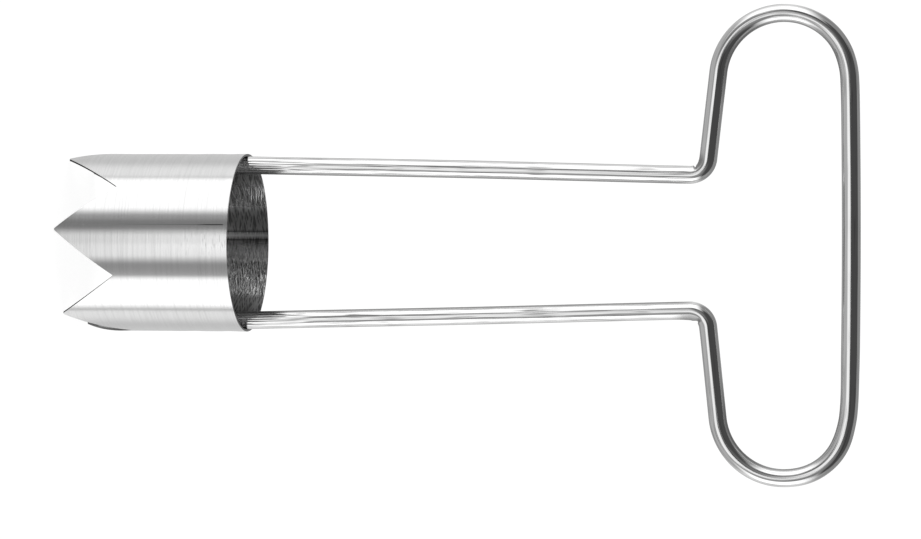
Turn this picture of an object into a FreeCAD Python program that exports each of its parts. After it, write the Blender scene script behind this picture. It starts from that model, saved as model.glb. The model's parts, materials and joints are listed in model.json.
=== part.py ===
import FreeCAD, Part
import math
import os

from FreeCAD import Vector

# Apple corer: a short toothed tube of rolled stainless sheet, with a handle bent from one
# stainless wire and spot welded inside the tube's plain end. Nothing on it moves.
# Millimetres. The tube's axis is Z, the tips of the teeth stand on Z = 0, and the handle
# lies in the XZ plane, with +Z towards its bar.

# Overall
overall_length = 155.0
handle_width = 92.0

# Tube, rolled from sheet
tube_diameter = 35.0
sheet_thickness = 0.4
tube_length = 34.5

# Teeth, punched as V notches before rolling
tooth_count = 6
tooth_depth = 11.6
tip_flat = 0.25
notch_root_radius = 0.25
tooth_angle = -97.9

# Seam, where the two rolled edges meet and are fused together
seam_angle = -101.3
seam_width = 0.3

# Handle wire
wire_diameter = 3.5
wire_end_chamfer = 0.4
leg_insertion = 15.0
foot_bend_inset = 1.0
foot_bend_radius = 60.0
shoulder_half_gap = 13.0
shoulder_bend_radius = 3.5
neck_lean = 6.5
lobe_radius = 12.7
bar_bow = 0.3

# Spot welds, two on each leg
spot_insets = {"outer": 3.5, "inner": 10.5}
spot_diameter = 2.2
spot_bite_in_wire = 0.8
wire_to_wall_gap = 0.05

tube_radius = tube_diameter / 2
bore_radius = tube_radius - sheet_thickness
wire_radius = wire_diameter / 2
spot_bite_in_wall = sheet_thickness / 2
foot_x = bore_radius - wire_to_wall_gap - wire_radius


def point(x, z):
    """A point of the handle's plane."""
    return Vector(x, 0, z)


def unit_at(angle):
    """A unit vector in the handle's plane, at an angle in degrees from +X towards +Z."""
    return point(math.cos(math.radians(angle)), math.sin(math.radians(angle)))


def mirrored(v):
    """The same point on the other side of the tube's axis."""
    return point(-v.x, v.z)


def notch(angle):
    """The V that is punched out between two teeth, as a prism that points outwards."""
    half_mouth = tube_radius * math.sin(math.pi / tooth_count) - tip_flat / 2
    half_angle = math.atan2(half_mouth, tooth_depth)
    below = 1.0
    half_base = half_mouth * (1 + below / tooth_depth)
    tangent_length = notch_root_radius / math.tan(half_angle)
    side = Vector(0, math.sin(half_angle), -math.cos(half_angle))
    root = Vector(0, 0, tooth_depth)
    left_tangent = root + Vector(0, -side.y, side.z) * tangent_length
    right_tangent = root + side * tangent_length
    round_top = root - Vector(0, 0, notch_root_radius / math.sin(half_angle) - notch_root_radius)
    left_base = Vector(0, -half_base, -below)
    right_base = Vector(0, half_base, -below)
    outline = Part.Wire([
        Part.makeLine(left_base, left_tangent),
        Part.Arc(left_tangent, round_top, right_tangent).toShape(),
        Part.makeLine(right_tangent, right_base),
        Part.makeLine(right_base, left_base),
    ])
    prism = Part.Face(outline).extrude(Vector(tube_radius + below, 0, 0))
    prism.rotate(Vector(), Vector(0, 0, 1), angle)
    return prism


def toothed_ring():
    """The rolled sheet as one closed ring, with its teeth."""
    ring = Part.makeCylinder(tube_radius, tube_length)
    ring = ring.cut(Part.makeCylinder(bore_radius, tube_length))
    pitch = 360 / tooth_count
    notches = [notch(tooth_angle + pitch * (i + 0.5)) for i in range(tooth_count)]
    return ring.cut(notches)


def seam_slit():
    """The narrow strip of the ring that the seam takes up, over the ring's whole height."""
    beyond = 1.0
    depth = sheet_thickness + 2 * beyond
    corner = Vector(bore_radius - beyond, -seam_width / 2, -beyond)
    slit = Part.makeBox(depth, seam_width, tube_length + 2 * beyond, corner)
    slit.rotate(Vector(), Vector(0, 0, 1), seam_angle)
    return slit


def rounded_run(corners, radii):
    """Straight edges through the corners, with a tangent arc at each inner corner."""
    edges = []
    start = corners[0]
    for before, corner, after, radius in zip(corners, corners[1:], corners[2:], radii):
        back = (before - corner).normalize()
        on = (after - corner).normalize()
        half_turn = (math.pi - back.getAngle(on)) / 2
        setback = radius * math.tan(half_turn)
        middle = (back + on).normalize() * (radius / math.cos(half_turn) - radius)
        edges.append(Part.makeLine(start, corner + back * setback))
        arc = Part.Arc(corner + back * setback, corner + middle, corner + on * setback)
        edges.append(arc.toShape())
        start = corner + on * setback
    edges.append(Part.makeLine(start, corners[-1]))
    return edges


def handle_path():
    """The wire's centre line, from the left leg's end over the bar to the right leg's end."""
    bar_top = point(0, overall_length - wire_radius)
    lobe_centre = point(
        handle_width / 2 - wire_radius - lobe_radius,
        bar_top.z - lobe_radius - bar_bow,
    )
    rise = bar_top.z - lobe_centre.z
    bar_radius = (lobe_centre.x**2 + rise**2 - lobe_radius**2) / (2 * (rise - lobe_radius))
    bar_centre = point(0, bar_top.z - bar_radius)
    to_bar = (lobe_centre - bar_centre).normalize()

    neck_end = lobe_centre + unit_at(neck_lean - 90) * lobe_radius
    drop = (neck_end.x - shoulder_half_gap) * math.tan(math.radians(neck_lean))
    shoulder = point(shoulder_half_gap, neck_end.z - drop)
    leg_end = point(foot_x, tube_length - leg_insertion)
    foot_bend = point(foot_x, tube_length - foot_bend_inset)
    lobe_side = lobe_centre + point(lobe_radius, 0)
    bar_end = lobe_centre + to_bar * lobe_radius

    corners = [leg_end, foot_bend, shoulder, neck_end]
    radii = [foot_bend_radius, shoulder_bend_radius]
    left_run = rounded_run([mirrored(c) for c in corners], radii)
    left_lobe = Part.Arc(mirrored(neck_end), mirrored(lobe_side), mirrored(bar_end)).toShape()
    bar = Part.Arc(mirrored(bar_end), bar_top, bar_end).toShape()
    right_lobe = Part.Arc(bar_end, lobe_side, neck_end).toShape()
    right_run = rounded_run(corners[::-1], radii[::-1])
    return Part.Wire([*left_run, left_lobe, bar, right_lobe, *right_run])


def bent_wire():
    """The round wire, drawn along its path, with both cut ends chamfered."""
    path = handle_path()
    end_z = tube_length - leg_insertion
    section = Part.Wire(Part.makeCircle(wire_radius, point(-foot_x, end_z), Vector(0, 0, 1)))
    rod = path.makePipeShell([section], True, False)
    expected = math.pi * wire_radius**2 * path.Length
    print(f"wire length {path.Length:.2f} mm, volume ratio {rod.Volume / expected:.6f}")
    ends = [e for e in rod.Edges if e.BoundBox.ZMax < end_z + wire_end_chamfer]
    return rod.makeChamfer(wire_end_chamfer, ends)


def spot_weld(side, inset):
    """One fused spot that locks a leg to the sheet. side is -1 for left and 1 for right."""
    start = foot_x + wire_radius - spot_bite_in_wire
    length = spot_bite_in_wire + wire_to_wall_gap + spot_bite_in_wall
    base = point(side * start, tube_length - inset)
    return Part.makeCylinder(spot_diameter / 2, length, base, Vector(side, 0, 0))


sides = {"left": -1, "right": 1}
spots = {
    f"{side}_{place}_spot_weld": spot_weld(sign, inset)
    for side, sign in sides.items()
    for place, inset in spot_insets.items()
}
ring = toothed_ring()
slit = seam_slit()

nodes = {
    "cutter_tube": ring.cut([slit, *spots.values()]),
    "seam_weld": ring.common(slit),
    "handle_wire": bent_wire().cut(list(spots.values())),
    **spots,
}

os.makedirs("parts", exist_ok=True)
for name, shape in nodes.items():
    solids = shape.Solids
    box = shape.BoundBox
    print(
        f"{name}: {len(solids)} solid, valid {shape.isValid()}, {shape.Volume:.2f} mm3, "
        f"x {box.XMin:.2f} to {box.XMax:.2f}, y {box.YMin:.2f} to {box.YMax:.2f}, "
        f"z {box.ZMin:.2f} to {box.ZMax:.2f}"
    )
    solids[0].exportStep(f"parts/{name}.step")
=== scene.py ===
# %% [markdown]
# # An apple corer of rolled sheet and bent wire
#
# The tool is a short tube of brushed stainless sheet with six punched teeth, and a T-shaped handle
# bent from one polished wire. The wire's two legs are spot welded inside the tube's plain end. The
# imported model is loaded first, because every size and place below is measured from it.

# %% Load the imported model
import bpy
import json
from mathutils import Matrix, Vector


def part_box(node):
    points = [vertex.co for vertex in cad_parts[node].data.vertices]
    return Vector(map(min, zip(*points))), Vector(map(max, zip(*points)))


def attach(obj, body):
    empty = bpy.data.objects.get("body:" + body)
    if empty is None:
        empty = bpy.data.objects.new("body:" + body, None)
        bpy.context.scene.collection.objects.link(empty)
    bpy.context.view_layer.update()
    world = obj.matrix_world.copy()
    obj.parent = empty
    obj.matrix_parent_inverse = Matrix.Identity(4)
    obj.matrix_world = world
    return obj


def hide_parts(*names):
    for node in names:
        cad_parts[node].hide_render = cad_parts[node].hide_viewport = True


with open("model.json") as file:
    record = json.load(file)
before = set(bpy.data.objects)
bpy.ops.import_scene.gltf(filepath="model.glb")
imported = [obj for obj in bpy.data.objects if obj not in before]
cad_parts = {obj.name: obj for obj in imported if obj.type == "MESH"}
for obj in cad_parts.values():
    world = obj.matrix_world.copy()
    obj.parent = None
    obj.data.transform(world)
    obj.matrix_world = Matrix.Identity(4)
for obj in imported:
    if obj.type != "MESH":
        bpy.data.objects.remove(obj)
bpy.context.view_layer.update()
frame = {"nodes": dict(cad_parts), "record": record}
print("nodes:", sorted(frame["nodes"]))

# %% [markdown]
# ## Sizes
#
# Blender works in metres and a toolmaker in millimetres, and MM turns the one into the other. What
# the frame knows is read from it: the tube from its own box and from the mount that gives its
# radius, and the handle from the wire's box. Only what a box can't say is written here.

# %% Sizes of the tube and the handle
import json
import math

import bmesh
import bpy
from mathutils import Matrix, Vector

MM = 0.001
mounts = {mount["name"]: mount for mount in frame["record"]["mounts"]}
wire_low, wire_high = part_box("handle_wire")

tube_radius = mounts["cutter_outside"]["dims"]["r_mm"] * MM
rim_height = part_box("cutter_tube")[1].z
sheet_thickness = 0.4 * MM
bore_radius = tube_radius - sheet_thickness

wire_radius = 1.75 * MM
handle_top = wire_high.z
handle_half_width = (wire_high.x - wire_low.x) / 2
leg_end_height = wire_low.z
print(f"tube {tube_radius / MM:.2f} mm in radius, {rim_height / MM:.2f} mm long")
print(f"handle top {handle_top / MM:.2f} mm, half width {handle_half_width / MM:.2f} mm")

# %% [markdown]
# ## The camera
#
# The tool lies sideways in the picture, with its teeth to the left and its bar to the right, and
# the camera looks a little into the plain end of the tube. A long lens about 75 cm away keeps the
# perspective weak. The camera is aimed at a point of the tool's own plane, with the tool's -X side
# at the top of the picture, and is then turned by the last quarter of a degree about its own axis.

# %% Camera
camera_place = Vector((4.64, -728.93, 212.99)) * MM
camera_target = Vector((5.06, 0, 77.11)) * MM
camera_roll = math.radians(0.28)
lens_length = 148.68  # in mm, behind which Blender keeps a sensor 36 mm wide
picture_up = Vector((-1, 0, 0))

backward = (camera_place - camera_target).normalized()
rightward = picture_up.cross(backward).normalized()
upward = backward.cross(rightward)
turned = Matrix((rightward, upward, backward)).transposed()
camera_data = bpy.data.cameras.new("picture_camera")
camera_data.lens = lens_length
camera = bpy.data.objects.new("picture_camera", camera_data)
camera.matrix_world = (
    Matrix.Translation(camera_place)
    @ (Matrix.Rotation(camera_roll, 3, backward) @ turned).to_4x4()
)
bpy.context.scene.collection.objects.link(camera)
bpy.context.scene.camera = camera
bpy.context.scene.view_settings.view_transform = "Standard"
print(f"camera {(camera_place - camera_target).length / MM:.0f} mm from its target")

# %% [markdown]
# ## Two small helpers
#
# Colours are chosen as sRGB hex values, as a paint chart gives them, and Blender wants them linear.
# The studio and every material below are small graphs of nodes, so one function adds a node, gives
# it its settings, and either sets each input or links it to the output that feeds it. An input that
# isn't named keeps Blender's default, such as 0 to 1 for what a Map Range gives. It hands back the
# node's first live output, so that one node can be written straight into the inputs of the next. In
# Blender each node's full name starts with ShaderNode.

# %% Colour and node helpers
def linear(hex_colour):
    """An sRGB hex value as a linear colour with alpha."""
    channels = [int(hex_colour[i:i + 2], 16) / 255 for i in (1, 3, 5)]
    return [c / 12.92 if c <= 0.04045 else ((c + 0.055) / 1.055) ** 2.4 for c in channels] + [1]


def add(tree, kind, inputs=None, **settings):
    """Adds one shader node. An input is given a value, or the socket that it is linked to."""
    node = tree.nodes.new("ShaderNode" + kind)
    for setting, value in settings.items():
        setattr(node, setting, value)
    for key, value in (inputs or {}).items():
        if isinstance(value, bpy.types.NodeSocket):
            tree.links.new(value, node.inputs[key])
        else:
            node.inputs[key].default_value = value
    return next((socket for socket in node.outputs if socket.enabled), None)


print("white is", linear("#FFFFFF"))

# %% [markdown]
# ## The studio that the metal mirrors
#
# Polished steel shows what stands round it. The tool was lit by two big soft boxes, one on each
# side, and a low pale card in front. Between them the room shows as dim gaps, a wide dark hood
# hangs over the camera, and a pale wall stands behind. All of it is painted on the world, by
# compass angle and height, because a painted sky renders without noise and has no size or distance
# that the small tool could show wrongly.
#
# Angles are in degrees. The compass starts at the camera's side, -Y, and turns towards -X. Each
# card is painted over the ones before it, with soft edges. A card that leans moves sideways by that
# many degrees for each degree of height.

# %% Cards of the studio
# name: middle, half width and soft edge by compass, the same three by height, lean, brightness
room_cards = {
    "room behind": (178, 78, 14, -20, 20, 8, 0, 0.68),
    "pale wall behind": (172, 50, 18, 8, 13, 4, 0, 1.05),
    "room beside -X": (103, 16, 12, -8, 28, 8, 0, 1.04),
    "room beside +X": (-103, 19, 14, -10, 26, 8, 0, 1.02),
    "dark floor behind": (-165, 44, 8, -56, 16, 5, -0.5, 0.36),
}
# name: compass angle, height, radius, soft edge, brightness
ceiling_discs = {
    "dim ceiling": (176, 78, 71, 18, 0.32),
    "dark hood": (-4, 36, 53, 4, 0.08),
}
light_cards = {
    "soft box at -X": (65.2, 26.5, 5, -10, 26, 11, 0, 1.56),
    "soft box at +X": (-69, 22.5, 4, -10, 24, 12, 0, 1.60),
    "edge of the box at -X": (93.5, 1.5, 1.0, -10, 24, 10, 0, 0.70),
    "edge of the box at +X": (-97.3, 1.8, 1.2, -10, 24, 10, 0, 0.42),
    "gap at -X": (18, 12, 2, -16, 30, 13, 0, 0.24),
    "gap at +X": (-24, 16, 8, -16, 33, 13, -0.09, 0.35),
    "front card": (-5.1, 18.6, 6.6, -21.5, 15.5, 5.5, 0.14, 1.20),
    "top of the front card": (-9, 8, 2, -6.5, 8, 3, -0.26, 1.15),
    "stand by the box at -X": (36, 7.5, 3.5, -28, 10, 3.5, 0.15, 0.37),
}
ground_brightness = 0.55

# %% Directions of the studio
world = bpy.data.worlds.new("studio")
bpy.context.scene.world = world
world.use_nodes = True
studio = world.node_tree
studio.nodes.clear()

direction = add(studio, "TexCoord")
part = add(studio, "SeparateXYZ", {"Vector": direction}).node.outputs
sideways = add(studio, "Math", {0: part["X"], 1: -1.0}, operation="MULTIPLY")
forwards = add(studio, "Math", {0: part["Y"], 1: -1.0}, operation="MULTIPLY")
compass = add(studio, "Math", {0: sideways, 1: forwards}, operation="ARCTAN2")
compass = add(studio, "Math", {0: compass}, operation="DEGREES")
height = add(studio, "Math", {0: part["Z"]}, operation="ARCSINE")
height = add(studio, "Math", {0: height}, operation="DEGREES")
print("compass from", compass.node.name, "and height from", height.node.name)


# %% Cards and discs as masks
def soft_band(tree, distance, half_width, soft_edge):
    """1 where the distance is well under the half width, 0 well over it, and soft between."""
    return add(tree, "MapRange", interpolation_type="SMOOTHSTEP", inputs={
        "Value": distance,
        "From Min": half_width + soft_edge,
        "From Max": half_width - soft_edge,
    })


def card_mask(middle, half_width, width_edge, level, half_height, height_edge, lean):
    """1 inside a card that is square in compass angle and height, and 0 outside it."""
    above = add(studio, "Math", {0: height, 1: level}, operation="SUBTRACT")
    leaning = add(studio, "Math", {0: above, 1: lean, 2: middle}, operation="MULTIPLY_ADD")
    aside = add(studio, "Math", {0: compass, 1: leaning}, operation="SUBTRACT")
    aside = add(studio, "Math", {0: aside, 1: 180.0, 2: -180.0}, operation="WRAP")
    aside = add(studio, "Math", {0: aside}, operation="ABSOLUTE")
    above = add(studio, "Math", {0: above}, operation="ABSOLUTE")
    across = soft_band(studio, aside, half_width, width_edge)
    up = soft_band(studio, above, half_height, height_edge)
    return add(studio, "Math", {0: across, 1: up}, operation="MULTIPLY")


def disc_mask(middle, level, radius, soft_edge):
    """1 inside a round disc on the sky, and 0 outside it."""
    compass_angle, height_angle = math.radians(middle), math.radians(level)
    towards_disc = Vector((
        -math.sin(compass_angle) * math.cos(height_angle),
        -math.cos(compass_angle) * math.cos(height_angle),
        math.sin(height_angle),
    ))
    cosine = add(studio, "VectorMath", operation="DOT_PRODUCT", inputs={
        0: direction, 1: towards_disc})
    angle = add(studio, "Math", {0: cosine}, operation="ARCCOSINE")
    angle = add(studio, "Math", {0: angle}, operation="DEGREES")
    return soft_band(studio, angle, radius, soft_edge)


# %% Paint the studio on the world
brightness = add(studio, "Value")
brightness.default_value = ground_brightness
masks = [(card_mask(*card[:-1]), card[-1]) for card in room_cards.values()]
masks += [(disc_mask(*disc[:-1]), disc[-1]) for disc in ceiling_discs.values()]
masks += [(card_mask(*card[:-1]), card[-1]) for card in light_cards.values()]
for mask, strength in masks:
    brightness = add(studio, "Mix", {"Factor": mask, "A": brightness, "B": strength})
print(len(masks), "cards and discs in the studio")

# %% [markdown]
# The camera itself sees a plain white background, and every other ray sees the studio.

# %% White behind the tool
seen_by_camera = add(studio, "LightPath")
shown = add(studio, "Mix", {"Factor": seen_by_camera, "A": brightness, "B": 1.0})
sky = add(studio, "Background", {"Color": linear("#FFFFFF"), "Strength": shown})
add(studio, "OutputWorld", {"Surface": sky})
print(len(studio.nodes), "nodes paint the studio")

# %% [markdown]
# ## The floor
#
# The tool stands on the tips of its teeth. The floor is a wide white disc that glows just enough to
# come out white, and it still takes the tool's soft shadow. Mirror rays pass through it, because
# the metal shows the studio's cards well below its own feet. Only the floor right under the tube is
# shut off from the light, so there a small dark disc stands for it, which only mirror rays can see.

# %% Floor
def new_material(name):
    """An empty node material, and its tree."""
    material = bpy.data.materials.new(name)
    material.use_nodes = True
    material.node_tree.nodes.clear()
    return material, material.node_tree


def finished(bm, name, *materials):
    """Turns a bmesh into a smooth shaded object with its materials."""
    mesh = bpy.data.meshes.new(name)
    bm.to_mesh(mesh)
    bm.free()
    for material in materials:
        mesh.materials.append(material)
    mesh.shade_smooth()
    piece = bpy.data.objects.new(name, mesh)
    bpy.context.scene.collection.objects.link(piece)
    return piece


floor_radius = 6.0
floor_glow = 0.88
dark_disc_depth = 0.1 * MM
floor_paint, tree = new_material("white_floor_paint")
diffuse = add(tree, "BsdfDiffuse", {"Color": linear("#D0D0D0")})
glow = add(tree, "Emission", {"Color": linear("#FFFFFF"), "Strength": floor_glow})
both = add(tree, "AddShader", {0: diffuse, 1: glow})
add(tree, "OutputMaterial", {"Surface": both})

disc = bmesh.new()
bmesh.ops.create_circle(disc, cap_ends=True, segments=96, radius=floor_radius)
floor = finished(disc, "floor", floor_paint)
floor.visible_glossy = False

dark_paint, tree = new_material("shaded_floor_paint")
diffuse = add(tree, "BsdfDiffuse", {"Color": linear("#202020")})
add(tree, "OutputMaterial", {"Surface": diffuse})
disc = bmesh.new()
bmesh.ops.create_circle(disc, cap_ends=True, segments=48, radius=tube_radius)
bmesh.ops.translate(disc, verts=disc.verts[:], vec=(0, 0, -dark_disc_depth))
shaded = finished(disc, "shaded_floor", dark_paint)
shaded.visible_camera = False
shaded.visible_diffuse = False
shaded.visible_shadow = False
print("floor", floor_radius, "m in radius")

# %% [markdown]
# ## Polished wire
#
# The handle is cold drawn stainless wire. The die leaves faint straight lines along its whole
# length, and tumbling then polishes it nearly to a mirror. So the finish is a bright, smooth metal
# with a very shallow bump stretched along the wire, and a few darker hair lines that come and go
# with the polish. All of it has to follow the bends, so it is drawn on an attribute that keeps
# where each point was while the wire was still straight.
#
# A second attribute says how coarse the lines are: the legs and the lobes were polished less than
# the bar, and the legs hardly at all where they enter the tube, so that the even lines of the worn
# die still show there. A third one marks the places that the buffing wheel couldn't reach, which
# are rougher, and which are also painted darker as painted shade, for they lie in creases or face
# each other.

# %% Sizes of the lines on the wire
drawn_line_width = 0.28 * MM
drawn_line_length = 26 * MM
drawn_line_depth = 0.36 * MM
die_line_pitch = 0.427 * MM
die_line_depth = 0.03 * MM
die_line_phase = 0.8
head_lines = 0.05
lobe_lines = 0.15
leg_lines = 0.17
root_lines = 0.24
hair_line_width = 0.16 * MM
hair_line_length = 7 * MM
polish_patch_length = 12 * MM
print(f"drawn lines {drawn_line_width / MM:.2f} mm wide and {drawn_line_length / MM:.0f} mm long")


# %% Material: drawn and polished wire, its bumps
def grain(tree, place, sizes, detail):
    """Noise whose grains have these sizes along the axes of a place."""
    scaled = add(tree, "Mapping", {"Vector": place, "Scale": [1 / size for size in sizes]})
    return add(tree, "TexNoise", {"Vector": scaled, "Scale": 1.0, "Detail": detail})


drawn_wire, tree = new_material("drawn_polished_stainless_wire")
straight = add(tree, "Attribute", attribute_name="straight_wire").node.outputs["Vector"]
lines = grain(tree, straight, (drawn_line_width, drawn_line_width, drawn_line_length), 3.0)
patches = add(tree, "TexNoise", {
    "Vector": straight, "Scale": 1 / polish_patch_length, "Detail": 1.0})
patches = add(tree, "MapRange", {
    "Value": patches, "From Min": 0.40, "From Max": 0.62, "To Min": 0.35})
coarse = add(tree, "Attribute", attribute_name="drawn_lines").node.outputs["Fac"]
line_strength = add(tree, "Math", {0: patches, 1: coarse}, operation="MULTIPLY")
bump = add(tree, "Bump", {"Height": lines, "Strength": line_strength, "Distance": drawn_line_depth})
across_wire = add(tree, "SeparateXYZ", {"Vector": straight})
die_lines = add(tree, "Math", operation="MULTIPLY_ADD", inputs={
    0: across_wire, 1: 2 * math.pi / die_line_pitch, 2: die_line_phase})
die_lines = add(tree, "Math", {0: die_lines}, operation="SINE")
at_root = add(tree, "MapRange", {"Value": coarse, "From Min": leg_lines, "From Max": root_lines})
bump = add(tree, "Bump", {
    "Height": die_lines, "Strength": at_root, "Distance": die_line_depth, "Normal": bump})
print("bumps of", drawn_wire.name)

# %% Material: drawn and polished wire, its shade
hairs = grain(tree, straight, (hair_line_width, hair_line_width, hair_line_length), 0.0)
hairs = add(tree, "MapRange", {"Value": hairs, "From Min": 0.62, "From Max": 0.72})
hair_strength = add(tree, "MapRange", {
    "Value": line_strength, "From Max": leg_lines, "To Max": 0.9})
hairs = add(tree, "Math", {0: hairs, 1: hair_strength}, operation="MULTIPLY")
dull_and_shaded = add(tree, "Attribute", attribute_name="dull_and_shaded").node.outputs["Fac"]
shade = add(tree, "Mix", data_type="RGBA", inputs={
    "Factor": lines, "A": linear("#D6D6D6"), "B": linear("#E4E4E4")})
shade = add(tree, "Mix", data_type="RGBA", inputs={
    "Factor": hairs, "A": shade, "B": linear("#707070")})
# Painted shade: the creases and the inward sides of the legs and lobes are painted darker.
shade = add(tree, "Mix", data_type="RGBA", inputs={
    "Factor": dull_and_shaded, "A": shade, "B": linear("#9A9A9A")})
roughness = add(tree, "MapRange", {
    "Value": lines, "From Min": 0.50, "From Max": 0.72, "To Min": 0.05, "To Max": 0.17})
roughness = add(tree, "Mix", {"Factor": dull_and_shaded, "A": roughness, "B": 0.32})
steel = add(tree, "BsdfPrincipled", {
    "Base Color": shade, "Metallic": 1.0, "Roughness": roughness, "Normal": bump})
add(tree, "OutputMaterial", {"Surface": steel})
print("made", drawn_wire.name)

# %% [markdown]
# ## The handle
#
# A wire bender feeds a straight wire and swings it round a pin, again and again. The mesh is made
# the same way: a ring is extruded, and moved on for a bit of feed or swung for a bit of bend. That
# keeps the section round everywhere and gives clean rings of faces.
#
# First the bends are worked out. A leg goes up from its end inside the tube, closes in slightly,
# and turns out at the shoulder. The neck leads to a round lobe, and the bar joins the two lobes. No
# bent wire keeps the bender's figures exactly: once let go, the lobes spring out a little, the two
# shoulders aren't equally far in, and the right neck leans a little less.

# %% Bends of the handle
leg_gap = 0.05 * MM
foot_offset = bore_radius - leg_gap - wire_radius
foot_bend_height = rim_height - 1.0 * MM
foot_bend_radius = 60 * MM
shoulder_bend_radius = 3.5 * MM
left_shoulder = 13.35 * MM
right_shoulder = 12.65 * MM
left_neck_lean = math.radians(6.5)
right_neck_lean = math.radians(6.0)
lobe_radius = 12.7 * MM
bar_bow = 0.3 * MM
spring_back = 0.4 * MM
sideways_shift = 0.15 * MM

bar_height = handle_top - wire_radius
lobe_x = handle_half_width + spring_back - wire_radius - lobe_radius
lobe_height = bar_height - lobe_radius - bar_bow
bar_rise = bar_height - lobe_height
bar_radius = (lobe_x**2 + bar_rise**2 - lobe_radius**2) / (2 * (bar_rise - lobe_radius))
bar_half_turn = math.asin(lobe_x / (bar_radius - lobe_radius))


def side_moves(foot_x, shoulder_x, neck_lean):
    """Feeds and bends from a leg's end to the bar, as (length of wire, turn to the right)."""
    neck_end_x = lobe_x + lobe_radius * math.sin(neck_lean)
    neck_end_height = lobe_height - lobe_radius * math.cos(neck_lean)
    shoulder_height = neck_end_height - (neck_end_x - shoulder_x) * math.tan(neck_lean)
    leg_rise = shoulder_height - foot_bend_height
    closing = math.atan2(foot_x - shoulder_x, leg_rise)
    shoulder_turn = math.pi / 2 - neck_lean + closing
    lobe_turn = math.pi - neck_lean - bar_half_turn
    foot_setback = foot_bend_radius * math.tan(closing / 2)
    shoulder_setback = shoulder_bend_radius * math.tan(shoulder_turn / 2)
    leg = math.hypot(foot_x - shoulder_x, leg_rise)
    neck = (neck_end_x - shoulder_x) / math.cos(neck_lean)
    return [
        (foot_bend_height - leg_end_height - foot_setback, 0),
        (foot_bend_radius * closing, closing),
        (leg - foot_setback - shoulder_setback, 0),
        (shoulder_bend_radius * shoulder_turn, -shoulder_turn),
        (neck - shoulder_setback, 0),
        (lobe_radius * lobe_turn, lobe_turn),
    ]


# The handle's own middle is shifted to the right, so both sides are measured from there.
left_moves = side_moves(
    foot_offset + sideways_shift, left_shoulder + sideways_shift, left_neck_lean)
right_moves = side_moves(
    foot_offset - sideways_shift, right_shoulder - sideways_shift, right_neck_lean)
bar_move = (bar_radius * 2 * bar_half_turn, 2 * bar_half_turn)
moves = [*left_moves, bar_move, *reversed(right_moves)]
print(f"{sum(length for length, turn in moves) / MM:.1f} mm of wire in {len(moves)} moves")

# %% [markdown]
# Then the wire is bent. Each new ring also notes how much wire has been fed, which gives the drawn
# lines their place.

# %% Bend the wire
wire_sides = 48
longest_feed = 1.2 * MM
finest_turn = math.radians(2)


def bender_step(place, heading, length, turn):
    """The movement of one small feed, or of one small swing about the bend's centre."""
    if turn == 0:
        return Matrix.Translation(heading * length)
    right_hand = Vector((heading.z, 0, -heading.x))
    centre = place + right_hand * (length / turn)
    return Matrix.Translation(centre) @ Matrix.Rotation(turn, 4, "Y") @ Matrix.Translation(-centre)


def next_ring(bm, ring, step, fed, straight_wire):
    """Extrudes a ring of edges, moves the new ring on, and returns it."""
    made = bmesh.ops.extrude_edge_only(bm, edges=ring)["geom"]
    points = {g for g in made if isinstance(g, bmesh.types.BMVert)}
    bmesh.ops.transform(bm, matrix=step, verts=list(points))
    for point in points:
        point[straight_wire].z = fed
    return [g for g in made if isinstance(g, bmesh.types.BMEdge) and points.issuperset(g.verts)]


rod = bmesh.new()
straight_wire = rod.verts.layers.float_vector.new("straight_wire")
place = Vector((-foot_offset, 0, leg_end_height))
heading = Vector((0, 0, 1))
bmesh.ops.create_circle(
    rod, cap_ends=True, segments=wire_sides, radius=wire_radius, matrix=Matrix.Translation(place)
)
for point in rod.verts:
    point[straight_wire] = point.co - place

ring = list(rod.edges)
fed = 0
shoulders = []
for length, turn in moves:
    steps = max(math.ceil(length / longest_feed), math.ceil(abs(turn) / finest_turn))
    if turn < 0:
        right_hand = Vector((heading.z, 0, -heading.x))
        shoulders.append((fed, fed + length, place + right_hand * (length / turn)))
    for _ in range(steps):
        step = bender_step(place, heading, length / steps, turn / steps)
        fed += length / steps
        ring = next_ring(rod, ring, step, fed, straight_wire)
        place = step @ place
        heading = (step.to_3x3() @ heading).normalized()
bmesh.ops.edgeloop_fill(rod, edges=ring)
print(f"the wire ends at x {place.x / MM:.3f} mm, z {place.z / MM:.3f} mm")

# %% [markdown]
# A pin of only one wire's radius squeezes the inside of the shoulder. The metal there folds into a
# short crease, and swells or is pressed flat beside it. On the left the fold is deep, and the foot
# of the neck is pressed flat. On the right it is shallower, and swells towards the leg.

# %% Crease the inside of the shoulders
# Places are counted along the bend, from -1 at its start to 1 at its end. Each pair is for the side
# before the fold and the side after it, in the order in which the wire was fed.
# mark is how far the painted shade of the fold reaches, before it and after it.
creases = [
    {"place": -0.39, "depth": 0.55 * MM, "width": (0.06, 0.18),
     "swelling": (-0.04 * MM, -0.24 * MM), "reach": 1.13, "mark": (0.2, 2.1)},
    {"place": -0.15, "depth": 0.28 * MM, "width": (0.15, 0.46),
     "swelling": (0.05 * MM, 0.27 * MM), "reach": 2.08, "mark": (0.3, 2.6)},
]
farthest_mark = 3
inner_half = (0.2, 0.6)


def fade(value, start, end):
    """0 before start and 1 after end, smooth between."""
    t = min(1, max(0, (value - start) / (end - start)))
    return t * t * (3 - 2 * t)


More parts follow.
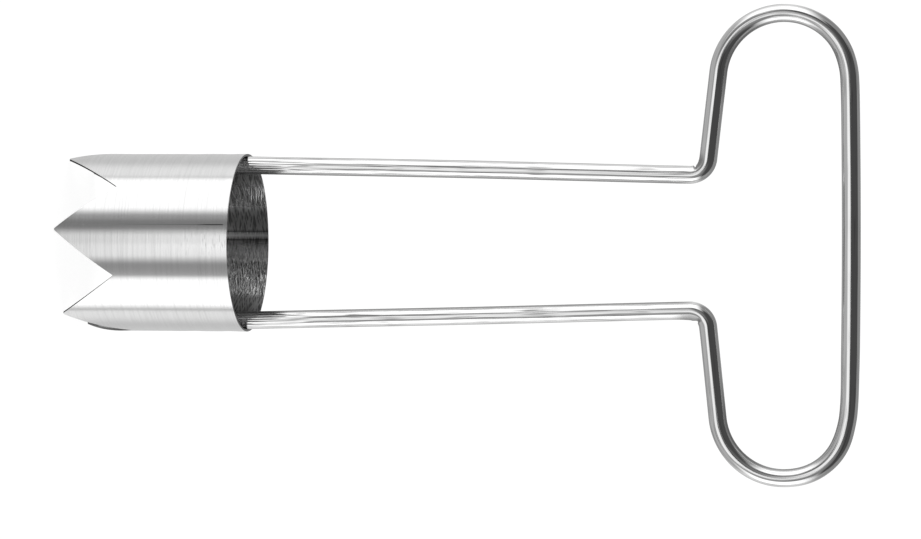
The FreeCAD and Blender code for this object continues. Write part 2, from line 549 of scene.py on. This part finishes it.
dull_and_shaded = rod.verts.layers.float.new("dull_and_shaded")
for (start, end, centre), crease in zip(shoulders, creases):
    for point in rod.verts:
        along = (point[straight_wire].z - start) / (end - start) * 2 - 1
        inside = -point[straight_wire].x / wire_radius
        offset = along - crease["place"]
        if abs(offset) > farthest_mark or inside <= 0:
            continue
        side = int(offset > 0)
        hump = max(0, 1 - (offset / crease["reach"]) ** 2) ** 2
        fold = math.exp(-(offset / crease["width"][side]) ** 2)
        lift = crease["swelling"][side] * hump * (1 - fold) - crease["depth"] * fold
        inwards = centre - point.co
        inwards.y = 0
        point.co += inwards.normalized() * lift * inside**2
        # The fold's painted shade fades out between half of mark and the whole of it.
        mark_end = crease["mark"][side]
        painted_fold_shade = 1 - fade(abs(offset), mark_end / 2, mark_end)
        point[dull_and_shaded] = painted_fold_shade * fade(inside, *inner_half)
print("creased at", [f"{(start + end) / 2 / MM:.0f} mm" for start, end, centre in shoulders])

# %% [markdown]
# The polish is noted on the bent wire. The sides of the legs that face each other and the inner
# sides of the lobes are left rougher, because the wheel has no room there, and they are also
# painted darker, as painted shade that falls between them.

# %% Note how well each place is polished, and where shade is painted
# Each pair is two places between which something fades in or out.
leg_end = (100 * MM, 104 * MM)
leg_root = (22 * MM, 30 * MM)
lobe_start = (24 * MM, 34 * MM)
inner_side = (0.72, 0.92)

drawn_lines = rod.verts.layers.float.new("drawn_lines")
for point in rod.verts:
    from_the_end = min(point[straight_wire].z, fed - point[straight_wire].z)
    on_leg = 1 - fade(from_the_end, *leg_end)
    on_lobe = fade(abs(point.co.x), *lobe_start)
    faces_inwards = fade(point[straight_wire].x / wire_radius, *inner_side)
    point[dull_and_shaded] = max(point[dull_and_shaded], max(on_leg, on_lobe) * faces_inwards)
    at_root = 1 - fade(from_the_end, *leg_root)
    point[drawn_lines] = head_lines + (leg_lines - head_lines) * on_leg
    point[drawn_lines] += (lobe_lines - head_lines) * on_lobe + (root_lines - leg_lines) * at_root
# These points are rougher, and painted darker as shade.
print(sum(point[dull_and_shaded] > 0 for point in rod.verts), "points that the wheel didn't reach")

# %% [markdown]
# The long thin legs bow out by a hair, and the head of the handle sits a sixth of a degree askew.
# The bar was pressed a hair wider than round, and it turns down a little early towards the lobes,
# more on the right, where the lobe is wider for it. Without all this the handle looks drawn with a
# ruler.

# %% Let the handle settle
left_leg_bow = 0.13 * MM
right_leg_bow = 0.08 * MM
head_tilt = math.radians(0.16)
head_drop = 0.12 * MM
head_start = (108 * MM, 121 * MM)
bar_widening = 0.045
bar_end = 35 * MM
bar_end_reach = 3.5 * MM
left_bar_end_drop = 0.14 * MM
right_bar_end_drop = 0.30 * MM
right_lobe_widening = 0.20 * MM
bar_start = (-41 * MM, -35 * MM)
bar_stop = (19 * MM, 29 * MM)
right_lobe_side = (36 * MM, 43 * MM)
handle_head = (140 * MM, 148 * MM)

for point in rod.verts:
    from_middle = point[straight_wire].z - fed / 2
    on_bar = fade(from_middle, *bar_start) * (1 - fade(from_middle, *bar_stop))
    point.co.z -= point[straight_wire].x * bar_widening * on_bar
    at_top = fade(point.co.z, *handle_head)
    near_bar_end = math.exp(-((abs(point.co.x) - bar_end) / bar_end_reach) ** 2)
    drop = left_bar_end_drop if point.co.x < 0 else right_bar_end_drop
    point.co.z -= drop * near_bar_end * at_top
    point.co.x += right_lobe_widening * fade(point.co.x, *right_lobe_side) * at_top

    up_leg = min(1, max(0, (point.co.z - rim_height) / (head_start[1] - rim_height)))
    bow = left_leg_bow if point.co.x < 0 else right_leg_bow
    share = fade(point.co.z, *head_start)
    settled_height = point.co.z + share * (point.co.x * math.sin(head_tilt) - head_drop)
    point.co.x += math.copysign(bow * math.sin(up_leg * math.pi) ** 2, point.co.x)
    point.co.z = settled_height
print(f"top of the bar at {max(point.co.z for point in rod.verts) / MM:.2f} mm")

# %% [markdown]
# Last, both cut ends get the small chamfer that keeps them from scratching the core.

# %% Finish the wire and put it in place
wire_end_chamfer = 0.4 * MM
end_edges = [e for e in rod.edges if any(len(f.verts) > 4 for f in e.link_faces)]
bmesh.ops.bevel(
    rod, geom=end_edges, offset=wire_end_chamfer, affect="EDGES",
    segments=2, profile=0.5, material=-1,
)
bmesh.ops.recalc_face_normals(rod, faces=rod.faces[:])
handle = finished(rod, "bent_wire_handle", drawn_wire)
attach(handle, "root")
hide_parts("handle_wire")
print(len(handle.data.polygons), "faces in the handle")

# %% [markdown]
# ## Brushed sheet
#
# The tube is rolled from stainless sheet that was brushed with the grain running round the tube.
# Each scratch is a fine groove, so the metal mirrors sharply along the grain and smears across it,
# up and down the tube. An anisotropic metal does that: its tangent runs round the tube's axis,
# turned a quarter so that the smear goes along the axis.
#
# The scratches were made while the sheet was flat, so they are drawn on an attribute too: the place
# that each point had on the flat strip, as the length round the tube from the seam, and the height.
# One stretched noise gives the fine scratches, and a broader one the bands that the belt left.
# Beside the seam, where the weld was ground, one broad patch has short flecks where the grit
# skipped, and a painted light that grows brighter towards the rim.

# %% Places on the flat strip
seam_turn = math.radians(-101.05)


def flat_place(turn, height):
    """Where a point of the wall lay on the flat strip."""
    return Vector(((turn - seam_turn) % (2 * math.pi) * tube_radius, height, 0))


def round_from(tree, strip_length, turn):
    """How far round the tube a place on the strip is from the line at an angle."""
    apart = add(tree, "Math", operation="SUBTRACT", inputs={
        0: strip_length, 1: flat_place(turn, 0).x})
    return add(tree, "Math", {0: apart}, operation="ABSOLUTE")


print(f"the strip is {2 * math.pi * tube_radius / MM:.1f} mm long before it is rolled")

# %% Sizes of the brushing
brush_line_width = 0.3 * MM
brush_line_length = 12 * MM
brush_line_depth = 0.0025 * MM
belt_band_width = 2.0 * MM
belt_band_length = 80 * MM
fleck_width = 0.22 * MM
fleck_length = 1.6 * MM
patch_turn = math.radians(-91)
patch_reach = 5.0 * MM
painted_light_start = 9 * MM
fleck_zone = (20 * MM, 28 * MM)
strip_grain = 1.0  # across the strip's thickness, where there is nothing to scratch
print(f"brush lines {brush_line_width / MM:.1f} mm wide and {brush_line_length / MM:.0f} mm long")


# %% Material: brushed sheet
def brushed_round(tree, shade, roughness, bump):
    """Steel with its grain round the tube, as the surface of a material."""
    round_the_tube = add(tree, "Tangent", direction_type="RADIAL", axis="Z")
    steel = add(tree, "BsdfPrincipled", {
        "Base Color": shade, "Metallic": 1.0, "Roughness": roughness, "Normal": bump,
        "Anisotropic": 1.0, "Anisotropic Rotation": 0.25, "Tangent": round_the_tube})
    add(tree, "OutputMaterial", {"Surface": steel})


brushed_sheet, tree = new_material("brushed_stainless_sheet")
flat = add(tree, "Attribute", attribute_name="flat_sheet").node.outputs["Vector"]
lines = grain(tree, flat, (brush_line_length, brush_line_width, strip_grain), 3.0)
bands = grain(tree, flat, (belt_band_length, belt_band_width, strip_grain), 3.0)
flecks = grain(tree, flat, (fleck_length, fleck_width, strip_grain), 0.0)
flecks = add(tree, "MapRange", {"Value": flecks, "From Min": 0.64, "From Max": 0.72, "To Max": 0.5})
bump = add(tree, "Bump", {"Height": lines, "Distance": brush_line_depth})
shade = add(tree, "Mix", data_type="RGBA", inputs={
    "Factor": bands, "A": linear("#DCDCDC"), "B": linear("#E6E6E6")})
line_shade = add(tree, "MapRange", {
    "Value": lines, "From Min": 0.45, "From Max": 0.75, "To Max": 0.28})
shade = add(tree, "Mix", data_type="RGBA", inputs={
    "Factor": line_shade, "A": shade, "B": linear("#C4C4C4")})
print("lines of", brushed_sheet.name)

# %% Material: brushed sheet, the patch beside the seam
part = add(tree, "SeparateXYZ", {"Vector": flat}).node.outputs
near_rim = add(tree, "MapRange", interpolation_type="SMOOTHSTEP", inputs={
    "Value": part["Y"], "From Min": fleck_zone[0], "From Max": fleck_zone[1], "To Min": 0.15})
flecks = add(tree, "Math", {0: flecks, 1: near_rim}, operation="MULTIPLY")
from_patch = round_from(tree, part["X"], patch_turn)
fleck_and_light_patch = soft_band(tree, from_patch, patch_reach / 2, patch_reach / 2)
# Painted light: across the patch the sheet is painted brighter towards the rim.
painted_light_to_rim = add(tree, "MapRange", {
    "Value": part["Y"], "From Min": painted_light_start, "From Max": rim_height})
painted_light_to_rim = add(tree, "Math", {0: painted_light_to_rim, 1: fleck_and_light_patch}, operation="MULTIPLY")
flecks = add(tree, "Math", {0: flecks, 1: fleck_and_light_patch}, operation="MULTIPLY")
shade = add(tree, "Mix", data_type="RGBA", inputs={
    "Factor": painted_light_to_rim, "A": shade, "B": linear("#FBFBFB")})
shade = add(tree, "Mix", data_type="RGBA", inputs={
    "Factor": flecks, "A": shade, "B": linear("#C8C8C8")})
roughness = add(tree, "MapRange", {"Value": lines, "To Min": 0.17, "To Max": 0.25})
brushed_round(tree, shade, roughness, bump)
print("made", brushed_sheet.name)

# %% [markdown]
# ## The inside of the sheet
#
# Nobody polishes the inside of such a tube. It keeps the dull finish of the mill, crossed by short
# deep scratches from the mandrel it was rolled on, whose sides catch the light here and there, and
# which carry painted glints as well. Broad zones along the tube were rubbed smoother than the rest
# and are painted brighter as painted light, and the scratches are deeper in most of them. A lighter
# stripe runs along the tube, with a painted shadow of a shallow groove on each side of it. Two sets
# of stretched noise, turned a little either way, make the scratches cross.

# %% Sizes of the scratches and zones
scratch_width = 0.34 * MM
scratch_length = 3.6 * MM
scratch_depth = 0.80 * MM
scratch_angle = math.radians(10)
least_scratched = 0.06
# degrees round the tube of a zone's middle, half width and soft edge, how rubbed and painted
# bright, how scratched
rubbed_and_lit_zones = [
    (124, 7.5, 5, 0.5, 0.22),
    (80, 8.5, 3, 0.9, 0.06),
    (65.5, 11.5, 5, 1.0, 1.0),
    (302, 43, 5, 0.8, 0.5),
    (225, 33, 5, 0.8, 0.5),
]
stripe_turn = math.radians(95.3)
stripe_width = 1.4 * MM
groove_shadow_fade = 0.7 * MM
print(len(rubbed_and_lit_zones), "rubbed zones and one stripe")

# %% Material: inside of the sheet, its scratches
dull_inside, tree = new_material("mill_finished_stainless_inside")
flat = add(tree, "Attribute", attribute_name="flat_sheet").node.outputs["Vector"]
crossed = []
for angle in (-scratch_angle, scratch_angle):
    turned_grain = add(tree, "Mapping", {"Vector": flat, "Rotation": (0, 0, angle)})
    crossed.append(grain(tree, turned_grain, (scratch_length, scratch_width, strip_grain), 0.0))
scratches = add(tree, "Math", {0: crossed[0], 1: crossed[1]}, operation="MAXIMUM")
strip_length = add(tree, "SeparateXYZ", {"Vector": flat})
shares = [0.0, least_scratched]
for middle, half_width, soft_edge, *strengths in rubbed_and_lit_zones:
    from_zone = round_from(tree, strip_length, math.radians(middle))
    widths = [math.radians(angle) * tube_radius for angle in (half_width, soft_edge)]
    zone = soft_band(tree, from_zone, *widths)
    for i, strength in enumerate(strengths):
        share = add(tree, "Math", {0: zone, 1: strength}, operation="MULTIPLY")
        shares[i] = add(tree, "Math", {0: share, 1: shares[i]}, operation="MAXIMUM")
rubbed_and_lit, scratched = shares
bump = add(tree, "Bump", {"Height": scratches, "Strength": scratched, "Distance": scratch_depth})
print("scratches of", dull_inside.name)

# %% Material: inside of the sheet, its shade
# Painted glints: the scratches are painted brighter than the metal between them.
bright = add(tree, "MapRange", {"Value": scratches, "From Min": 0.46, "From Max": 0.62})
rolled_shade = add(tree, "Mix", data_type="RGBA", inputs={
    "Factor": bright, "A": linear("#747474"), "B": linear("#B0B0B0")})
# Painted light: the zones are painted brighter than the rest of the inside.
lit_shade = add(tree, "Mix", data_type="RGBA", inputs={
    "Factor": bright, "A": linear("#D0D0D0"), "B": linear("#FFFFFF")})
shade = add(tree, "Mix", data_type="RGBA", inputs={
    "Factor": rubbed_and_lit, "A": rolled_shade, "B": lit_shade})
from_stripe = round_from(tree, strip_length, stripe_turn)
stripe_edge = stripe_width / 2
stripe = add(tree, "MapRange", {
    "Value": from_stripe, "From Min": stripe_edge, "From Max": 0.0, "To Max": 0.8})
beyond_stripe = add(tree, "Math", operation="GREATER_THAN", inputs={0: from_stripe, 1: stripe_edge})
# Painted shadow: a dark band just outside each side of the stripe, fading away from it.
groove_shadow = add(tree, "MapRange", {
    "Value": from_stripe, "From Min": stripe_edge, "From Max": stripe_edge + groove_shadow_fade,
    "To Min": 0.85, "To Max": 0.0})
groove_shadow = add(tree, "Math", {0: groove_shadow, 1: beyond_stripe}, operation="MULTIPLY")
shade = add(tree, "Mix", data_type="RGBA", inputs={
    "Factor": stripe, "A": shade, "B": linear("#E4E4E4")})
shade = add(tree, "Mix", data_type="RGBA", inputs={
    "Factor": groove_shadow, "A": shade, "B": linear("#4A4A4A")})
roughness = add(tree, "MapRange", {"Value": rubbed_and_lit, "To Min": 0.30, "To Max": 0.12})
brushed_round(tree, shade, roughness, bump)
print("made", dull_inside.name)

# %% [markdown]
# ## The cut edges of the sheet
#
# A punch shears the notches and a saw cut the plain end. Half of such an edge is torn metal, so it
# stays dull beside the brushed wall, with a fine uneven grain.

# %% Material: cut edges
tear_size = 0.12 * MM
tear_depth = 0.01 * MM

cut_edge, tree = new_material("sheared_stainless_edge")
place_on_tube = add(tree, "TexCoord").node.outputs["Object"]
tears = add(tree, "TexNoise", {"Vector": place_on_tube, "Scale": 1 / tear_size})
shade = add(tree, "Mix", data_type="RGBA", inputs={
    "Factor": tears, "A": linear("#8A8A8A"), "B": linear("#B2B2B2")})
bump = add(tree, "Bump", {"Height": tears, "Distance": tear_depth})
steel = add(tree, "BsdfPrincipled", {
    "Base Color": shade, "Metallic": 1.0, "Roughness": 0.42, "Normal": bump})
add(tree, "OutputMaterial", {"Surface": steel})
print("made", cut_edge.name)

# %% [markdown]
# ## The cutter tube
#
# The real tube is a flat strip with six V-shaped notches punched into its edge, rolled round and
# welded along one line. The mesh takes the same road with half a tooth: a grid is pulled down into
# the slope of the punched edge, rolled to the tube's radius, mirrored into a whole tooth, and
# copied round the axis. Then a slit is cut where the strip's two ends meet. It is only a hairline,
# because grinding left no more of the weld to be seen, and the bead in it bites into both sides.

# %% The punched edge
tooth_count = 6
tooth_depth = 11.6 * MM
tip_flat = 0.25 * MM
notch_root_radius = 0.25 * MM
tooth_turn = math.radians(-97.9)
seam_width = 0.12 * MM
touching = 1e-7  # in metres, for points that already fall together
merge_distance = 0.001 * MM

half_pitch = math.pi / tooth_count
half_mouth = tube_radius * math.sin(half_pitch) - tip_flat / 2
flank_lean = math.atan2(half_mouth, tooth_depth)
root_half_width = notch_root_radius * math.cos(flank_lean)


def punched_edge(turn):
    """The height of the punched edge at an angle from a notch's middle."""
    across = tube_radius * math.sin(abs(turn))
    if across < root_half_width:
        root_centre = tooth_depth - notch_root_radius / math.sin(flank_lean)
        return root_centre + math.sqrt(notch_root_radius**2 - across**2)
    return max(0, tooth_depth * (1 - across / half_mouth))


print(f"flanks lean {math.degrees(flank_lean):.1f} degrees, root at {punched_edge(0) / MM:.2f} mm")

# %% Half a tooth, rolled
flank_columns = 27
edge_rows = 8
wall_rows = 46
collar_height = tooth_depth + 0.8 * MM

root_turns = [math.asin(x / tube_radius) for x in (0, root_half_width / 2, root_half_width)]
tip_turn = math.asin(half_mouth / tube_radius)
flank_step = (tip_turn - root_turns[-1]) / flank_columns
flank_turns = [root_turns[-1] + flank_step * (i + 1) for i in range(flank_columns)]
column_turns = [*root_turns, *flank_turns, half_pitch]


def wall_height(row, turn):
    """The height of a row of the grid: graded from the punched edge to a collar, then even."""
    if row < edge_rows:
        edge = punched_edge(turn)
        return edge + (collar_height - edge) * row / edge_rows
    return collar_height + (rim_height - collar_height) * (row - edge_rows) / wall_rows


columns = len(column_turns) - 1
rows = edge_rows + wall_rows
wall = bmesh.new()
bmesh.ops.create_grid(wall, x_segments=columns, y_segments=rows, size=0.5)
for point in wall.verts:
    column = round((point.co.x + 0.5) * columns)
    row = round((point.co.y + 0.5) * rows)
    turn_from_notch = column_turns[column]
    turn = half_pitch - turn_from_notch
    point.co = Vector((
        tube_radius * math.cos(turn),
        tube_radius * math.sin(turn),
        wall_height(row, turn_from_notch),
    ))
print(len(wall.verts), "points in half a tooth, columns", columns, "rows", rows)

# %% Whole ring of teeth
everything = wall.verts[:] + wall.edges[:] + wall.faces[:]
bmesh.ops.mirror(wall, geom=everything, axis="Y", merge_dist=touching)
everything = wall.verts[:] + wall.edges[:] + wall.faces[:]
copies = tooth_count - 1
bmesh.ops.spin(
    wall, geom=everything, cent=(0, 0, 0), axis=(0, 0, 1),
    angle=copies * 2 * half_pitch, steps=copies, use_duplicate=True,
)
bmesh.ops.rotate(
    wall, verts=wall.verts[:], cent=(0, 0, 0), matrix=Matrix.Rotation(tooth_turn, 3, "Z"))
bmesh.ops.remove_doubles(wall, verts=wall.verts[:], dist=merge_distance)
bmesh.ops.recalc_face_normals(wall, faces=wall.faces[:])
print(len(wall.faces), "faces in the ring")

# %% [markdown]
# The punch pushes each tooth a little out of round, and use bends the long thin tips some more.
# Each tooth gets its own two figures: how far its tip leans outwards, and how far round the tube.
# The lean grows from the root to the tip.

# %% Bend the teeth
# lean outwards and lean round the tube, of each tooth in turn from the one that faces the camera
tooth_leans = [
    (0.08 * MM, 0.00 * MM),
    (0.14 * MM, 0.24 * MM),
    (0.12 * MM, 0.05 * MM),
    (0.05 * MM, 0.00 * MM),
    (0.30 * MM, 0.30 * MM),
    (0.14 * MM, 0.00 * MM),
]
tip_bends_more = 1.5  # the power by which the lean grows towards the tip


def leaned(place):
    """Where a point of the wall is after its tooth has been bent."""
    share = max(0, 1 - place.z / tooth_depth) ** tip_bends_more
    turn = math.atan2(place.y, place.x)
    tooth = round((turn - tooth_turn) / (2 * half_pitch)) % tooth_count
    outwards, sideways = tooth_leans[tooth]
    radial = Vector((place.x, place.y, 0)).normalized()
    round_tube = Vector((-radial.y, radial.x, 0))
    return place + radial * outwards * share + round_tube * sideways * share


for point in wall.verts:
    point.co = leaned(point.co)
print(len(tooth_leans), "teeth bent")

# %% [markdown]
# The slit is cut by two planes, one on each side of the seam, and the strip between them is taken
# out. The bead of weld metal that fills it is a piece of its own. Now that the ring is open at the
# seam, every point also gets its place on the flat strip.

# %% Cut the slit of the seam
cut_reach = 1 * MM
seam_outwards = Vector((math.cos(seam_turn), math.sin(seam_turn), 0))
seam_sideways = Vector((-seam_outwards.y, seam_outwards.x, 0))


def near_seam(face, reach):
    """True for a face of the wall that lies within a reach to either side of the seam."""
    centre = face.calc_center_median()
    return centre.dot(seam_outwards) > 0 and abs(centre.dot(seam_sideways)) < reach


for side in (-1, 1):
    faces = [f for f in wall.faces if near_seam(f, cut_reach)]
    edges = list({e for f in faces for e in f.edges})
    points = list({v for f in faces for v in f.verts})
    bmesh.ops.bisect_plane(
        wall, geom=points + edges + faces, dist=touching,
        plane_co=seam_sideways * side * seam_width / 2, plane_no=seam_sideways,
    )
slit = [f for f in wall.faces if near_seam(f, seam_width / 2)]
bmesh.ops.delete(wall, geom=slit, context="FACES")
flat_sheet = wall.verts.layers.float_vector.new("flat_sheet")
for point in wall.verts:
    point[flat_sheet] = flat_place(math.atan2(point.co.y, point.co.x), point.co.z)
print(len(slit), "faces taken out of the slit")

# %% [markdown]
# Spot welding squeezes the wall between two electrodes, which leaves a shallow round dimple outside
# each of the four welds.

# %% Press the dimples of the spot welds
dimple_radius = 1.9 * MM
dimple_depth = 0.05 * MM

spot_boxes = {name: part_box(name) for name in frame["nodes"] if name.endswith("spot_weld")}
for low, high in spot_boxes.values():
    middle = (low + high) / 2
    mark = Vector((math.copysign(tube_radius, middle.x), 0, middle.z))
    for point in wall.verts:
        distance = (point.co - mark).length
        if distance < dimple_radius:
            depth = dimple_depth * math.cos(distance / dimple_radius * math.pi / 2)
            point.co -= Vector((point.co.x, point.co.y, 0)).normalized() * depth
print(len(spot_boxes), "dimples, the last at a height of", f"{middle.z / MM:.1f} mm")

# %% [markdown]
# The wall gets its thickness inwards. The same modifier hands out the other two finishes: the inner
# wall takes the next material after the outside's, and the cut edges the one after that. A small
# bevel then breaks every sharp edge, as deburring does.

# %% Give the wall its thickness
edge_rounding = 0.03 * MM
sharp_edge = math.radians(40)
tube = finished(wall, "toothed_tube", brushed_sheet, dull_inside, cut_edge)
thickness = tube.modifiers.new("sheet", "SOLIDIFY")
thickness.thickness = sheet_thickness
thickness.offset = -1
thickness.material_offset = 1
thickness.material_offset_rim = 2
rounding = tube.modifiers.new("rounded_edges", "BEVEL")
rounding.width = edge_rounding
rounding.segments = 2
rounding.limit_method = "ANGLE"
rounding.angle_limit = sharp_edge
rounding.harden_normals = True
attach(tube, "root")
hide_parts("cutter_tube")
print("tube from", [f"{c / MM:.2f}" for c in tube.bound_box[0]], "mm")

# %% [markdown]
# ## The seam
#
# The two edges of the rolled sheet are fused by a thin bead of weld, which was ground nearly flush.
# Its colour changes with height: near the teeth it is nearly the sheet's own, further up it is
# painted a little darker, and nearer the rim it is painted as a dark hairline, which ends again
# just under the rim. All this darkening is painted shade of the seam's line.

# %% Material: seam weld
shade_rises = (10 * MM, 28 * MM)
shade_darkens = (27.5 * MM, 30.5 * MM)
shade_ends = (33.6 * MM, 33.9 * MM)
seam_grain = 0.4 * MM
seam_grain_depth = 0.003 * MM
seam_roughness = 0.22

seam_metal, tree = new_material("ground_seam_weld_with_painted_shade")
place_on_tube = add(tree, "TexCoord").node.outputs["Object"]
level = add(tree, "SeparateXYZ", {"Vector": place_on_tube}).node.outputs["Z"]
ground = add(tree, "TexNoise", {"Vector": place_on_tube, "Scale": 1 / seam_grain})
# Painted shade: the seam is painted darker up the tube and as a dark hairline near the rim.
seam_shade_rise = add(tree, "MapRange", {
    "Value": level, "From Min": shade_rises[0], "From Max": shade_rises[1], "To Max": 0.3})
seam_shade = add(tree, "MapRange", {"Value": level, "From Min": shade_darkens[0], "From Max": shade_darkens[1]})
seam_shade = add(tree, "Math", {0: seam_shade_rise, 1: seam_shade}, operation="MAXIMUM")
shade_below_rim = add(tree, "MapRange", {
    "Value": level, "From Min": shade_ends[0], "From Max": shade_ends[1],
    "To Min": 1.0, "To Max": 0.0})
seam_shade = add(tree, "Math", {0: seam_shade, 1: shade_below_rim}, operation="MULTIPLY")
ground_shade = add(tree, "Mix", data_type="RGBA", inputs={
    "Factor": ground, "A": linear("#DCDCDC"), "B": linear("#E6E6E6")})
shade = add(tree, "Mix", data_type="RGBA", inputs={
    "Factor": seam_shade, "A": ground_shade, "B": linear("#686868")})
bump = add(tree, "Bump", {"Height": ground, "Distance": seam_grain_depth})
brushed_round(tree, shade, seam_roughness, bump)
print("made", seam_metal.name)

# %% Seam bead
bead_columns = 2
bead_rows = 100
bead_width = 0.20 * MM
bead_height = 0.004 * MM

bead = bmesh.new()
bmesh.ops.create_grid(bead, x_segments=bead_columns, y_segments=bead_rows, size=0.5)
for point in bead.verts:
    across = point.co.x * bead_width
    up = point.co.y + 0.5
    turn = seam_turn + across / tube_radius
    edge = punched_edge((turn - tooth_turn) % (2 * half_pitch) - half_pitch)
    level = edge + (rim_height - edge) * up
    radius = tube_radius + bead_height
    point.co = leaned(Vector((radius * math.cos(turn), radius * math.sin(turn), level)))
for edge in bead.edges:
    edge.smooth = not edge.is_boundary
bmesh.ops.recalc_face_normals(bead, faces=bead.faces[:])
seam = finished(bead, "seam_bead", seam_metal)
thickness = seam.modifiers.new("sheet", "SOLIDIFY")
thickness.thickness = sheet_thickness
thickness.offset = -1
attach(seam, "root")
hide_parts("seam_weld")
print("seam normals outwards:", seam.data.polygons[0].normal.dot(seam_outwards) > 0)

# %% [markdown]
# ## Spot welds
#
# Each leg is held by two small nuggets that bite into the wire and into the sheet. Between the two
# they are squeezed out to an uneven round edge. A grid is rolled into a cylinder, and its rings are
# swelled and rippled a little. Steel that has melted and set again is duller than the sheet, with a
# fine cast grain and a little dark oxide.

# %% Material: spot weld metal
cast_grain = 0.15 * MM
cast_grain_depth = 0.02 * MM

spot_metal, tree = new_material("fused_spot_weld_steel")
place_in_weld = add(tree, "TexCoord").node.outputs["Object"]
cast = add(tree, "TexNoise", {"Vector": place_in_weld, "Scale": 1 / cast_grain})
bump = add(tree, "Bump", {"Height": cast, "Distance": cast_grain_depth})
shade = add(tree, "Mix", data_type="RGBA", inputs={
    "Factor": cast, "A": linear("#6E6E6E"), "B": linear("#A8A8A8")})
steel = add(tree, "BsdfPrincipled", {
    "Base Color": shade, "Metallic": 1.0, "Roughness": 0.42, "Normal": bump})
add(tree, "OutputMaterial", {"Surface": steel})
print("made", spot_metal.name)

# %% Spot welds
spot_sides = 32
spot_rings = 6
spot_swelling = 0.12
coarse_ripple = 0.03
fine_ripple = 0.02

for name, (low, high) in spot_boxes.items():
    middle = (low + high) / 2
    spot_length = high.x - low.x
    spot_radius = (high.z - low.z) / 2
    nugget = bmesh.new()
    bmesh.ops.create_grid(nugget, x_segments=spot_sides, y_segments=spot_rings, size=0.5)
    for point in nugget.verts:
        turn = (point.co.x + 0.5) * 2 * math.pi
        along = point.co.y
        ripple = coarse_ripple * math.sin(3 * turn + middle.z / MM)
        ripple += fine_ripple * math.sin(5 * turn)
        swell = (spot_swelling + ripple) * math.cos(along * math.pi) ** 2
        radius = spot_radius * (1 + swell)
        point.co = Vector((
            middle.x + along * spot_length,
            radius * math.cos(turn),
            middle.z + radius * math.sin(turn),
        ))
    bmesh.ops.remove_doubles(nugget, verts=nugget.verts[:], dist=merge_distance)
    bmesh.ops.holes_fill(nugget, edges=nugget.edges[:], sides=spot_sides)
    bmesh.ops.recalc_face_normals(nugget, faces=nugget.faces[:])
    spot = finished(nugget, name.replace("spot_weld", "nugget"), spot_metal)
    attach(spot, "root")
    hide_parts(name)
print(len(spot_boxes), "nuggets")
